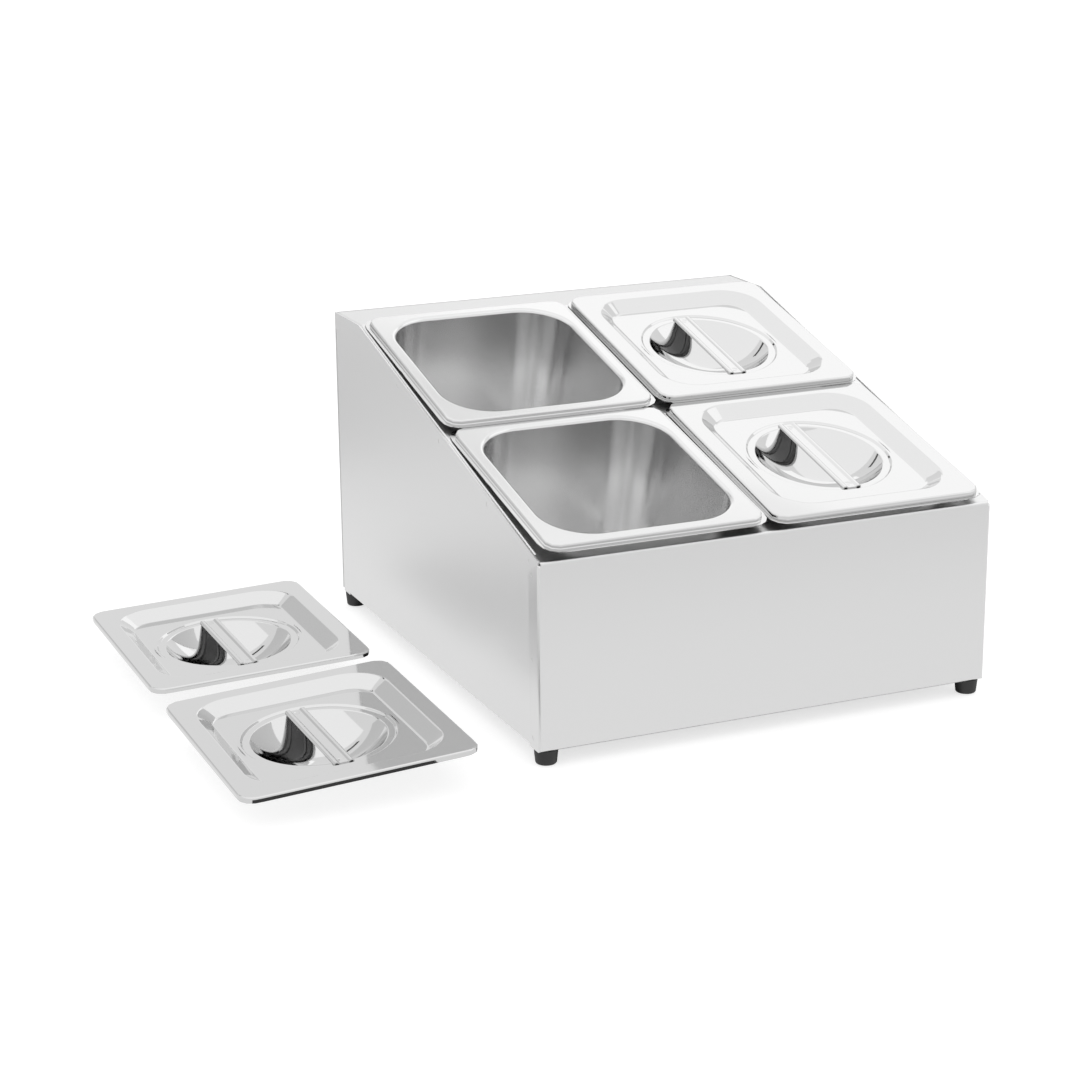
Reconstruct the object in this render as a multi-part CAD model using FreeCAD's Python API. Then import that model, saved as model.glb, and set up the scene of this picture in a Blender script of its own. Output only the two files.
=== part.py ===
import FreeCAD, Part
import math
import os

# Condiment holder: a folded stainless steel stand with a sloping top that carries four
# lift-out food pans in two rows, two of them covered, with the other two lids laid beside it.
# Millimetres. +X to the right, +Y to the back, +Z up. The pieces are built about the middle
# of the stand's footprint, and then all of them are moved so that the origin is on the table
# under the middle of everything, the two loose lids included.

# Stand: heights are from the sheet's bottom edge, and its width and depth follow the pans
front_height = 128.0
back_height = 218.0
shelf_depth = 52.0
body_sheet = 1.0
bend_radius = 1.0
shelf_bend_radius = 4.0
fold_gap = 0.2

# Stand: folded edges
return_width = 15.0
return_mitre_drop = 9.5
foot_flange = 16.0
side_foot_flange = 15.0
rear_return = 12.0
frame_flange = 12.0
cutout_corner = 6.0
cross_bar_leg = 15.0
leg_end_gap = 2.0
relief_radius = 1.5

# Stand: spot welds, as shallow dimples
weld_radius = 1.6
weld_depth = 0.2
return_weld_inset = 9.5
return_weld_heights = (7.6, 61.0, 118.0)
side_weld_drop = 7.0
side_weld_places = (15.6, 85.3, 169.9, 248.9)

# Rubber feet and their screws
foot_inset = 8.5
foot_height = 10.5
foot_top_radius = 8.1
foot_bottom_radius = 7.2
foot_edge_radius = 1.6
foot_recess_radius = 4.4
foot_recess_depth = 4.5
screw_radius = 2.0
screw_head_radius = 3.6
screw_head_height = 2.4
screw_head_edge = 0.9
screw_length = 12.0
screw_clearance = 0.1
nut_height = 3.2
nut_across_flats = 7.0

# Food pan, sixth size, deep: sizes of one pan in its own frame
pan_width = 162.0
pan_length = 176.0
pan_depth = 100.0
pan_sheet = 0.6
rim_height = 3.7
rim_width = 12.8
lip_width = 3.5
lip_corner = 12.5
rim_edge_radius = 1.2
rim_bend_radius = 3.0
mouth_corner = 34.0
wall_lean = 6.0
pan_floor_radius = 14.0

# Lid
lid_inset = 2.0
lid_sheet = 0.6
lid_skirt = 3.6
lid_edge_radius = 1.4
recess_margin_side = 13.0
recess_margin_end = 12.5
recess_corner = 27.0
recess_bevel = 10.0
recess_depth = 7.0
recess_top_radius = 3.0
recess_floor_radius = 4.0
ring_radius = 50.8
ring_step = 1.2
ring_bevel = 1.4
dish_radius = 44.6
dish_depth = 19.8

# Lid handle: a strip with both edges rolled up into beads
handle_width = 14.0
handle_end_gap = 1.5
handle_sheet = 0.8
handle_bead_height = 1.8
handle_bead_width = 3.0
handle_bead_slope = 1.0
handle_bend_radius = 0.7
handle_weld_radius = 2.0
handle_weld_depth = 0.25
handle_weld_inset = 5.0

# How the pans sit on the sloping top: the rear row's lips lie over the front row's rims, and
# the front row's walls are wedged at the front flange, which holds their front edges up
rest_gap = 0.1
wedge_gap = 0.3
cutout_gap = 1.0
left_margin = 4.5
right_margin = 6.0
front_column_gap = 1.5
rear_column_gap = 0.8
front_row = -1.5
row_overlap = 4.7
shelf_overlap = 5.7
front_left_lift = 6.8
front_right_lift = 5.2

# How the two loose lids lie on the table, dish down: the gap to the stand's left side, the
# turn, and the tips towards the front and towards the left
front_loose_gap = 48.6
front_loose_middle = 63.6
front_loose_turns = (0.5, 1.6, 3.1)
rear_loose_gap = 46.4
rear_loose_turns = (0.1, 1.2, 1.9)
loose_lid_gap = 32.3

# Worked out: the lid from the pan, the rows and columns, and then the stand round them
Vec = FreeCAD.Vector
plain_corner = 0.0
overshoot = 5.0
lid_width = pan_width - 2 * lid_inset
lid_length = pan_length - 2 * lid_inset
lid_corner = lip_corner - lid_inset
lid_above_lip = rim_height + lid_sheet
wall_margin = rim_width - pan_sheet
rear_row = front_row + pan_length - row_overlap
slope_length = rear_row + pan_length - shelf_overlap
rise = back_height - front_height
run = math.sqrt(slope_length ** 2 - rise ** 2)
slope = math.degrees(math.atan2(rise, run))
width = left_margin + 2 * pan_width + front_column_gap + right_margin
depth = run + shelf_depth
left, right = -width / 2, width / 2
front, back = -depth / 2, depth / 2
low = foot_height
bend_outside = bend_radius + body_sheet
side_strip = left_margin + wall_margin - cutout_gap
cross_bar_start = front_row + pan_length - wall_margin + cutout_gap
cross_bar_end = rear_row + wall_margin - cutout_gap
rear_cutout_end = rear_row + pan_length - wall_margin + cutout_gap


# Plane shapes

def in_side_view(x):
    """Place of a section drawn in depth and height."""
    return lambda u, v: Vec(x, u, v)


def in_front_view(y):
    """Place of a section drawn in width and height."""
    return lambda u, v: Vec(u, y, v)


def in_plan(z):
    """Place of an outline drawn in width and depth."""
    return lambda u, v: Vec(u, v, z)


def outline(corners, radii, place):
    """A closed wire through the corners, each rounded by its own radius."""
    count = len(corners)
    points = [Vec(u, v, 0) for u, v in corners]
    edges = []
    stops = []
    for i, radius in enumerate(radii):
        corner = points[i]
        before = (points[i - 1] - corner).normalize()
        after = (points[(i + 1) % count] - corner).normalize()
        if radius <= 0:
            stops.append((corner, corner))
            continue
        half = before.getAngle(after) / 2
        reach = radius / math.tan(half)
        middle = (before + after).normalize()
        bulge = radius / math.sin(half) - radius
        start = corner + before * reach
        end = corner + after * reach
        stops.append((start, end))
        arc = Part.Arc(*[place(p.x, p.y) for p in (start, corner + middle * bulge, end)])
        edges.append(arc.toShape())
    for i in range(count):
        start, end = stops[i][1], stops[(i + 1) % count][0]
        if start.distanceToPoint(end) > 1e-6:
            edges.append(Part.makeLine(place(start.x, start.y), place(end.x, end.y)))
    return Part.Wire(Part.__sortEdges__(edges))


def plate(corners, radii, place, thickness):
    """A flat solid: the outline carried along a straight line."""
    return Part.Face(outline(corners, radii, place)).extrude(thickness)


def folded(line, sheet, inside_radius, place, length):
    """A folded strip of sheet, carried along a straight line.

    The line follows one face of the sheet, and the sheet lies on its right-hand side.
    Both faces of a fold turn about the same centre."""
    points = [Vec(u, v, 0) for u, v in line]
    ways = [(b - a).normalize() for a, b in zip(points, points[1:])]
    sides = [Vec(way.y, -way.x, 0) for way in ways]
    face = [(p.x, p.y) for p in points]
    hidden = [points[0] + sides[0] * sheet]
    face_radii = [plain_corner]
    hidden_radii = [plain_corner]
    for i in range(1, len(points) - 1):
        a, b = sides[i - 1], sides[i]
        hidden.append(points[i] + (a + b) * (sheet / (1 + a.dot(b))))
        turns_right = ways[i - 1].cross(ways[i]).z < 0
        face_radii.append(inside_radius + (sheet if turns_right else 0))
        hidden_radii.append(inside_radius + (0 if turns_right else sheet))
    hidden.append(points[-1] + sides[-1] * sheet)
    face_radii.append(plain_corner)
    hidden_radii.append(plain_corner)
    corners = face + [(p.x, p.y) for p in reversed(hidden)]
    radii = face_radii + list(reversed(hidden_radii))
    return plate(corners, radii, place, length)


def box(x0, x1, y0, y1, z0, z1):
    return Part.makeBox(x1 - x0, y1 - y0, z1 - z0, Vec(x0, y0, z0))


def rectangle(x0, x1, y0, y1):
    return [(x0, y0), (x1, y0), (x1, y1), (x0, y1)]


def rounded_plate(x0, x1, y0, y1, corner, z0, z1):
    """A flat block with rounded corners."""
    return plate(rectangle(x0, x1, y0, y1), [corner] * 4, in_plan(z0), Vec(0, 0, z1 - z0))


def tapered(x0, x1, y0, y1, corner, top, bottom, lean):
    """A block with rounded corners whose four sides lean in towards its bottom."""
    high = outline(rectangle(x0, x1, y0, y1), [corner] * 4, in_plan(top))
    deep = rectangle(x0 + lean, x1 - lean, y0 + lean, y1 - lean)
    return Part.makeLoft([high, outline(deep, [corner - lean] * 4, in_plan(bottom))], True, True)


def turned(profile):
    """A solid of revolution about the upright axis from a half section."""
    corners = [Vec(r, 0, z) for r, z in profile]
    return Part.Face(Part.makePolygon(corners + corners[:1])).revolve(Vec(), Vec(0, 0, 1), 360)


def level_edges(shape, height):
    """The edges of a shape that lie flat at one height."""
    near = 1e-4
    return [edge for edge in shape.Edges
            if abs(edge.BoundBox.ZMin - height) < near and abs(edge.BoundBox.ZMax - height) < near]


def placed(shape, angle, where):
    """A copy turned about the X axis and moved."""
    copy = shape.copy()
    copy.Placement = FreeCAD.Placement(where, FreeCAD.Rotation(Vec(1, 0, 0), angle))
    return copy


def mirrored(shape):
    return shape.mirror(Vec(), Vec(1, 0, 0))


# The slope: distances along it from its front edge, and heights square to it

def slope_point(along, above):
    """Depth and height of a point of the slope."""
    turn = math.radians(slope)
    y = front + along * math.cos(turn) - above * math.sin(turn)
    z = low + front_height + along * math.sin(turn) + above * math.cos(turn)
    return y, z


def on_slope(shape):
    """Moves a shape drawn flat, with Y along the slope, onto the slope."""
    y, z = slope_point(0, 0)
    return placed(shape, slope, Vec(0, y, z))


def top_line(drop):
    """Side view of the top, from the front face to the back, lowered square to itself."""
    shelf_turn = drop * math.tan(math.radians(slope) / 2)
    start_y, start_z = slope_point(0, -drop)
    shift = start_y - front
    start = (front, start_z - shift * math.tan(math.radians(slope)))
    bend = (back - shelf_depth + shelf_turn, low + back_height - drop)
    return [start, bend, (back, low + back_height - drop)]


# Stand

def weld_dimple(where, along):
    """A round tool that marks a spot weld in a face."""
    return Part.makeCylinder(weld_radius, 2 * weld_depth, where - along * weld_depth, along)


def front_flange():
    """How far the front flange runs up the slope, to wedge the front pans' walls."""
    reaches = []
    for lift in (front_left_lift, front_right_lift):
        tip = math.asin((lift - rest_gap) / pan_length)
        drop = lift + rim_height
        wall = wall_margin + wall_lean * drop / pan_depth
        reaches.append(front_row + wall * math.cos(tip) - drop * math.sin(tip))
    return min(reaches) - wedge_gap


def front_panel():
    """Front face with a top flange on the slope, a bottom flange and two side returns that
    lap over the side panels, their top ends mitred."""
    top_corner = slope_point(0, 0)
    flange_edge = slope_point(front_flange(), 0)
    section = [(front + foot_flange, low), (front, low), top_corner, flange_edge]
    length = Vec(width - 2 * bend_outside, 0, 0)
    face = folded(section, body_sheet, bend_radius, in_side_view(left + bend_outside), length)
    wrap = [(right, front + return_width), (right, front),
            (left, front), (left, front + return_width)]
    high = Vec(0, 0, front_height + return_width)
    returns = folded(wrap, body_sheet, bend_radius, in_plan(low), high)
    inside = front + return_width + overshoot
    mitre = (front + return_width, low + front_height - return_mitre_drop)
    profile = [(inside, low), (front, low), top_corner, mitre, (inside, mitre[1])]
    radii = [plain_corner, bend_outside, bend_outside, plain_corner, plain_corner]
    returns = returns.common(plate(profile, radii, in_side_view(left), Vec(width, 0, 0)))
    panel = face.fuse(returns)
    for x, way in ((left, Vec(1, 0, 0)), (right, Vec(-1, 0, 0))):
        for height in return_weld_heights:
            where = Vec(x, front + return_weld_inset, low + height)
            panel = panel.cut(weld_dimple(where, way))
    return drilled(panel, front + foot_inset).removeSplitter()


def drilled(panel, y):
    """The two foot screw holes of a bottom flange."""
    for x in (left + foot_inset, right - foot_inset):
        hole = Part.makeCylinder(screw_radius + screw_clearance, 2 * body_sheet,
                                 Vec(x, y, low - body_sheet / 2))
        panel = panel.cut(hole)
    return panel


def left_side_panel():
    """Side sheet inside the front return, with a rear return and a bottom flange."""
    outside = left + body_sheet
    inside = outside + body_sheet
    end = back - body_sheet
    start = front + bend_outside + fold_gap
    upper = low + back_height - frame_flange - body_sheet
    plan = [(outside, start), (outside, end), (outside + rear_return, end)]
    sheet = folded(plan, body_sheet, bend_radius, in_plan(low), Vec(0, 0, back_height))
    sheet = sheet.cut(box(outside, inside + rear_return, end - bend_outside, end,
                          low - overshoot, low + bend_outside + fold_gap))
    sheet = sheet.cut(box(outside, inside + rear_return, end - bend_outside, end,
                          upper, low + back_height + overshoot))
    sheet = sheet.fuse(box(outside, inside, end - bend_outside, end, upper, low + back_height))
    slope_start, bend, shelf_end = top_line(0)
    profile = [(front, low), (back, low), shelf_end, bend, slope_start]
    radii = [plain_corner, plain_corner, plain_corner, shelf_bend_radius, plain_corner]
    reach = Vec(body_sheet + rear_return + body_sheet, 0, 0)
    sheet = sheet.common(plate(profile, radii, in_side_view(outside), reach))
    flange_start = front + foot_flange + body_sheet
    flange_end = back - foot_flange - body_sheet
    sheet = sheet.cut(box(outside, inside, flange_start, flange_end, low, low + bend_outside))
    fold = [(outside + side_foot_flange, low), (outside, low), (outside, low + bend_outside)]
    sheet = sheet.fuse(folded(fold, body_sheet, bend_radius, in_front_view(flange_start),
                              Vec(0, flange_end - flange_start, 0)))
    for y in (flange_start, flange_end):
        notch = Part.makeCylinder(relief_radius, 2 * rear_return, Vec(left, y, low), Vec(1, 0, 0))
        sheet = sheet.cut(notch)
    turn = math.tan(math.radians(slope))
    for place in side_weld_places:
        height = low + front_height + place * turn - side_weld_drop
        sheet = sheet.cut(weld_dimple(Vec(outside, front + place, height), Vec(1, 0, 0)))
    return sheet.removeSplitter()


def back_panel():
    """Plain back sheet with a bottom flange."""
    section = [(back, low + back_height), (back, low), (back - foot_flange, low)]
    margin = bend_outside + fold_gap
    panel = folded(section, body_sheet, bend_radius, in_side_view(left + margin),
                   Vec(width - 2 * margin, 0, 0))
    panel = panel.fuse(box(left + body_sheet, right - body_sheet, back - body_sheet, back,
                           low + bend_outside, low + back_height))
    return drilled(panel, back - foot_inset).removeSplitter()


def frame_block(drop, side_gap, end_gap, thickness, radius):
    """A band under the top line, with rounded edges along its sides and its back."""
    start = front + bend_outside + fold_gap - (overshoot if drop else 0)
    end = back - body_sheet - end_gap
    turn = math.tan(math.radians(slope))
    upper = top_line(drop)
    lower = top_line(drop + thickness)
    corners = [(start, upper[0][1] + (start - front) * turn), upper[1], (end, upper[2][1]),
               (end, lower[2][1]), lower[1], (start, lower[0][1] + (start - front) * turn)]
    radii = [plain_corner, shelf_bend_radius - drop] + [plain_corner] * 4
    reach = Vec(width - 2 * side_gap, 0, 0)
    block = plate(corners, radii, in_side_view(left + side_gap), reach)
    shelf_top = low + back_height - drop
    rear = [e for e in block.Edges if e.BoundBox.YMin > end - 1e-4
            and e.BoundBox.ZMin > shelf_top - 1e-4]
    sides = [e for e in block.Edges if e.BoundBox.XLength < 1e-4
             and e.BoundBox.YLength > 1e-4 and lies_on_top(e, drop)]
    return block.makeFillet(radius, rear + sides)


def lies_on_top(edge, drop):
    """Whether the middle of an edge is at the top of the band, not at its bottom."""
    middle = edge.valueAt((edge.FirstParameter + edge.LastParameter) / 2)
    start, bend, _ = top_line(drop)
    along = min(1.0, (middle.y - start[0]) / (bend[0] - start[0]))
    expected = start[1] + along * (bend[1] - start[1])
    return abs(middle.z - expected) < body_sheet


def top_frame():
    """Shelf and sloping frame in one sheet, with flanges folded down inside the side and
    back panels, two rows of cut-outs, and the cross bar between them folded to a channel."""
    side = bend_outside
    outer = frame_block(0.0, side, 0.0, frame_flange, bend_outside)
    inner = frame_block(body_sheet, side + body_sheet, body_sheet,
                        frame_flange + overshoot, bend_radius)
    frame = outer.cut(inner)
    clear = on_slope(box(left, right, -overshoot * 2, front_flange(), -body_sheet, overshoot))
    frame = frame.cut(clear)
    hole_left, hole_right = left + side_strip, right - side_strip
    for start, end in ((-overshoot * 2, cross_bar_start), (cross_bar_end, rear_cutout_end)):
        hole = rounded_plate(hole_left, hole_right, start, end, cutout_corner,
                             -body_sheet * 2, body_sheet)
        frame = frame.cut(on_slope(hole))
    legs = [(cross_bar_start, -cross_bar_leg), (cross_bar_start, 0),
            (cross_bar_end, 0), (cross_bar_end, -cross_bar_leg)]
    bar_left = hole_left + cutout_corner + leg_end_gap
    bar = folded(legs, body_sheet, bend_radius, in_side_view(bar_left), Vec(-2 * bar_left, 0, 0))
    strip = on_slope(box(bar_left, -bar_left, cross_bar_start, cross_bar_end,
                         -body_sheet * 2, body_sheet))
    frame = frame.cut(strip).fuse(on_slope(bar))
    for x in (left + side, right - side):
        relief = Part.makeCylinder(relief_radius, frame_flange,
                                   Vec(x, back - body_sheet, low + back_height - frame_flange
                                       - bend_outside))
        frame = frame.cut(relief)
    return frame.removeSplitter()


# Feet

def foot(x, y):
    """Tapered rubber foot, recessed below for its screw's head."""
    edge = foot_edge_radius
    bulge = edge * (1 - math.sqrt(0.5))
    bore = screw_radius + screw_clearance
    profile = [(bore, foot_height), (foot_top_radius, foot_height),
               (foot_bottom_radius, edge), (foot_bottom_radius - bulge, bulge),
               (foot_bottom_radius - edge, 0), (foot_recess_radius, 0),
               (foot_recess_radius, foot_recess_depth), (bore, foot_recess_depth)]
    return placed(turned(profile), 0, Vec(x, y, 0))


def foot_screw(x, y):
    """Pan-head screw that goes up through the foot and the flange."""
    seat = foot_recess_depth
    top = seat + screw_length
    under = seat - screw_head_height
    edge = screw_head_edge
    profile = [(0, under), (screw_head_radius - edge, under), (screw_head_radius, under + edge),
               (screw_head_radius, seat), (screw_radius, seat), (screw_radius, top), (0, top)]
    return placed(turned(profile), 0, Vec(x, y, 0))


def foot_nut(x, y):
    """Hexagon nut on top of the flange."""
    reach = nut_across_flats / 2 / math.cos(math.radians(30))
    turns = [math.radians(60 * i) for i in range(6)]
    hexagon = [(reach * math.cos(t), reach * math.sin(t)) for t in turns]
    seat = low + body_sheet
    nut = plate(hexagon, [plain_corner] * 6, in_plan(seat), Vec(0, 0, nut_height))
    bore = Part.makeCylinder(screw_radius + screw_clearance, nut_height, Vec(0, 0, seat))
    return placed(nut.cut(bore), 0, Vec(x, y, 0))


def foot_places():
    """Name and centre of each foot."""
    x, y = width / 2 - foot_inset, depth / 2 - foot_inset
    return (("front_left", -x, -y), ("front_right", x, -y),
            ("rear_left", -x, y), ("rear_right", x, y))


# Pan and lid, each in its own frame: X across, Y along, Z square to its rim. The pan's
# corner is the front left corner of its lip, and Z is 0 at the lip's underside.

def pan():
    """Pressed pan: flat lip, raised rim round the mouth, leaning walls and a round-edged
    floor."""
    floor = rim_height - pan_depth
    mouth = (rim_width, pan_width - rim_width, rim_width, pan_length - rim_width)
    grown = (mouth[0] - pan_sheet, mouth[1] + pan_sheet,
             mouth[2] - pan_sheet, mouth[3] + pan_sheet)
    outer = tapered(*grown, mouth_corner + pan_sheet, rim_height, floor, wall_lean)
    outer = outer.makeFillet(pan_floor_radius + pan_sheet, level_edges(outer, floor))
    inner = tapered(*mouth, mouth_corner, rim_height, floor + pan_sheet, wall_lean)
    inner = inner.makeFillet(pan_floor_radius, level_edges(inner, floor + pan_sheet))
    lip = rounded_plate(0, pan_width, 0, pan_length, lip_corner, 0, pan_sheet)
    edge = lip_width
    rim = rounded_plate(edge, pan_width - edge, edge, pan_length - edge,
                        lip_corner - edge, 0, rim_height)
    rim = rim.makeFillet(rim_edge_radius, level_edges(rim, rim_height))
    edge = lip_width + pan_sheet
    under = rounded_plate(edge, pan_width - edge, edge, pan_length - edge,
                          lip_corner - edge, -overshoot, rim_height - pan_sheet)
    under = under.makeFillet(rim_edge_radius - pan_sheet / 2,
                             level_edges(under, rim_height - pan_sheet))
    sheet = lip.fuse(rim).cut(under).fuse(outer).removeSplitter()
    crease = [e for e in level_edges(sheet, rim_height - pan_sheet)
              if e.BoundBox.XMin > rim_width - 2 * pan_sheet
              and e.BoundBox.XMax < pan_width - rim_width + 2 * pan_sheet
              and e.BoundBox.YMin > rim_width - 2 * pan_sheet]
    sheet = sheet.makeFillet(rim_bend_radius - pan_sheet, crease)
    sheet = sheet.cut(inner)
    brink = [e for e in level_edges(sheet, rim_height) if e.BoundBox.XMin > rim_width - pan_sheet
             and e.BoundBox.XMax < pan_width - rim_width + pan_sheet]
    return sheet.makeFillet(rim_bend_radius, brink)


def lid():
    """Pressed lid about its own middle: Z is 0 at its flat rim, with a skirt round it, a
    bevelled recess, a ring step and a round dish under the handle."""
    half_x, half_y = lid_width / 2, lid_length / 2
    skirt = rounded_plate(-half_x, half_x, -half_y, half_y, lid_corner, -lid_skirt, 0)
    skirt = skirt.makeFillet(lid_edge_radius, level_edges(skirt, 0))
    hollow_x, hollow_y = half_x - lid_sheet, half_y - lid_sheet
    hollow = rounded_plate(-hollow_x, hollow_x, -hollow_y, hollow_y, lid_corner - lid_sheet,
                           -lid_skirt - overshoot, -lid_sheet)
    hollow = hollow.makeFillet(lid_edge_radius - lid_sheet, level_edges(hollow, -lid_sheet))
    x, y = half_x - recess_margin_side, half_y - recess_margin_end
    recess = tapered(-x, x, -y, y, recess_corner, 0, -recess_depth, recess_bevel)
    recess = recess.makeFillet(recess_floor_radius, level_edges(recess, -recess_depth))
    bevel_angle = math.atan2(recess_depth, recess_bevel)
    spread = lid_sheet * math.tan(bevel_angle / 2)
    x, y = x + spread, y + spread
    below = tapered(-x, x, -y, y, recess_corner + spread, -lid_sheet,
                    -recess_depth - lid_sheet, recess_bevel)
    below = below.makeFillet(recess_floor_radius + lid_sheet,
                             level_edges(below, -recess_depth - lid_sheet))
    sheet = skirt.cut(hollow).fuse(below).fuse(dish_block(lid_sheet))
    sheet = sheet.cut(recess).cut(dish_block(0.0)).removeSplitter()
    brink = [e for e in level_edges(sheet, 0) if e.BoundBox.XMax < x + lid_sheet
             and e.BoundBox.YMax < y + lid_sheet]
    return sheet.makeFillet(recess_top_radius, brink)


def dish_ball():
    """Radius of the dish's ball, from its mouth and depth."""
    return (dish_radius ** 2 + dish_depth ** 2) / (2 * dish_depth)


def dish_block(skin):
    """Ring step and dish as one turned block, thicker by the skin."""
    ledge = -recess_depth - ring_step
    ball = dish_ball()
    centre = ledge - dish_depth + ball
    grown = ball + skin
    mouth = math.sqrt(grown ** 2 - (centre - ledge + skin) ** 2)
    bottom = centre - grown
    turn = math.asin(mouth / grown) / 2
    middle = Vec(grown * math.sin(turn), 0, centre - grown * math.cos(turn))
    top = -recess_depth if skin == 0 else -recess_depth - skin / 2
    ring = ring_radius + skin
    edges = [Part.makeLine(Vec(0, 0, bottom), Vec(0, 0, top)),
             Part.makeLine(Vec(0, 0, top), Vec(ring, 0, top)),
             Part.makeLine(Vec(ring, 0, top), Vec(ring - ring_bevel, 0, ledge - skin)),
             Part.makeLine(Vec(ring - ring_bevel, 0, ledge - skin), Vec(mouth, 0, ledge - skin)),
             Part.Arc(Vec(mouth, 0, ledge - skin), middle, Vec(0, 0, bottom)).toShape()]
    return Part.Face(Part.Wire(edges)).revolve(Vec(), Vec(0, 0, 1), 360)


def handle():
    """Handle strip across the dish, welded to the ring's ledge at both ends."""
    ledge = -recess_depth - ring_step
    half = handle_width / 2
    top = handle_bead_height
    valley = handle_sheet
    bead = half - handle_bead_width
    floor = bead - handle_bead_slope
    line = [(-half, 0), (-half, top), (-bead, top), (-floor, valley),
            (floor, valley), (bead, top), (half, top), (half, 0)]
    reach = math.sqrt((ring_radius - ring_bevel) ** 2 - half ** 2) - handle_end_gap
    strip = folded([(u, v + ledge) for u, v in line], handle_sheet, handle_bend_radius,
                   in_front_view(-reach), Vec(0, 2 * reach, 0))
    for end in (-reach + handle_weld_inset, reach - handle_weld_inset):
        dent = Part.makeCylinder(handle_weld_radius, handle_sheet,
                                 Vec(0, end, ledge + valley - handle_weld_depth))
        strip = strip.cut(dent)
    return strip.removeSplitter()


# Placing pans and lids

def shingle(front_lift, thickness):
    """Height of a rear pan's lip where it lies over the pan or the lid in front of it."""
    slant = (front_lift - rest_gap) * (row_overlap + pan_sheet) / pan_length
    return rest_gap + slant + thickness + rest_gap


def pan_seats():
    """Name, column, row, the heights of the lip's underside at its front and back, and
    whether a lid covers the pan."""
    right_column = left_margin + pan_width + front_column_gap
    rear_right_column = left_margin + pan_width + rear_column_gap
    rear_left_lift = shingle(front_left_lift, rim_height)
    rear_right_lift = shingle(front_right_lift, lid_above_lip)
    return (("front_left", left_margin, front_row, front_left_lift, rest_gap, False),
            ("front_right", right_column, front_row, front_right_lift, rest_gap, True),
            ("rear_left", left_margin, rear_row, rear_left_lift, rest_gap, False),
            ("rear_right", rear_right_column, rear_row, rear_right_lift, rest_gap, True))


def seat(shape, column, row, front_lift, back_lift, step=Vec()):
    """Moves a shape from its own frame, a step away from the pan's, to its seat."""
    tip = math.degrees(math.asin((front_lift - back_lift) / pan_length))
    y, z = slope_point(row, front_lift)
    turn = FreeCAD.Rotation(Vec(1, 0, 0), slope - tip)
    return placed(shape, slope - tip, Vec(left + column, y, z) + turn.multVec(step))


def loose_lies():
    """Name, gap to the stand, distance of the lid's middle from the front, and turns."""
    rear_middle = front_loose_middle + lid_length + loose_lid_gap
    return (("loose_front", front_loose_gap, front_loose_middle, front_loose_turns),
            ("loose_rear", rear_loose_gap, rear_middle, rear_loose_turns))


def loose(shape, gap, middle, turns):
    """Moves a lid or its handle to where the lid lies on the table, on its dish's bottom."""
    x, y = left - gap - lid_width / 2, front + middle
    turn, forward, sideways = turns
    rotation = FreeCAD.Rotation(Vec(0, 0, 1), turn)
    rotation = rotation.multiply(FreeCAD.Rotation(Vec(1, 0, 0), forward))
    rotation = rotation.multiply(FreeCAD.Rotation(Vec(0, 1, 0), -sideways))
    upright = rotation.multVec(Vec(0, 0, 1)).z
    ball = dish_ball() + lid_sheet
    total = recess_depth + ring_step + dish_depth + lid_sheet
    height = ball - (ball - total) * upright
    copy = shape.copy()
    copy.Placement = FreeCAD.Placement(Vec(x, y, height), rotation)
    return copy


def build():
    """Every piece of the holder, by name."""
    pieces = {"front_panel": front_panel(), "left_side_panel": left_side_panel()}
    pieces["right_side_panel"] = mirrored(pieces["left_side_panel"])
    pieces["back_panel"] = back_panel()
    pieces["top_frame"] = top_frame()
    screws = []
    nuts = []
    for name, x, y in foot_places():
        pieces["foot_" + name] = foot(x, y)
        screws.append(foot_screw(x, y))
        nuts.append(foot_nut(x, y))
    pieces["foot_screws"] = Part.makeCompound(screws)
    pieces["foot_nuts"] = Part.makeCompound(nuts)
    pan_shape, lid_shape, handle_shape = pan(), lid(), handle()
    lift = Vec(pan_width / 2, pan_length / 2, lid_above_lip)
    for name, column, row, front_lift, back_lift, covered in pan_seats():
        place = (column, row, front_lift, back_lift)
        pieces["pan_" + name] = seat(pan_shape, *place)
        if covered:
            pieces["lid_" + name] = seat(lid_shape, *place, lift)
            pieces["lid_handle_" + name] = seat(handle_shape, *place, lift)
    for name, gap, middle, turns in loose_lies():
        pieces["lid_" + name] = loose(lid_shape, gap, middle, turns)
        pieces["lid_handle_" + name] = loose(handle_shape, gap, middle, turns)
    return pieces


def centred(pieces):
    """Moves every piece so that the middle of all of them is over the origin."""
    middle = Part.makeCompound(list(pieces.values())).optimalBoundingBox().Center
    for piece in pieces.values():
        piece.translate(Vec(-middle.x, -middle.y, 0))
    return pieces


os.makedirs("parts", exist_ok=True)
for piece_name, piece in centred(build()).items():
    piece.exportStep("parts/" + piece_name + ".step")
    solids = len(piece.Solids)
    size = piece.BoundBox
    print(piece_name, "solids", solids, "valid", piece.isValid(), "volume", round(piece.Volume),
          "size", round(size.XLength, 1), round(size.YLength, 1), round(size.ZLength, 1))
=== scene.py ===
# %% [markdown]
# # A countertop condiment holder in stainless steel
# The holder is a folded sheet stand with a sloping top. Four pressed food pans hang in it in
# two rows, two of them under lids with a strip handle, and two more lids lie on the table.
# The solids come from the CAD model, which also fixes every size and place. This lesson
# gives them their finishes, remakes the pressed parts as smooth surfaces, because polished
# steel shows every facet, and photographs the result in a white studio.

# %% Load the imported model
import math

import bpy
import numpy as np
from mathutils import Matrix, Vector


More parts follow.
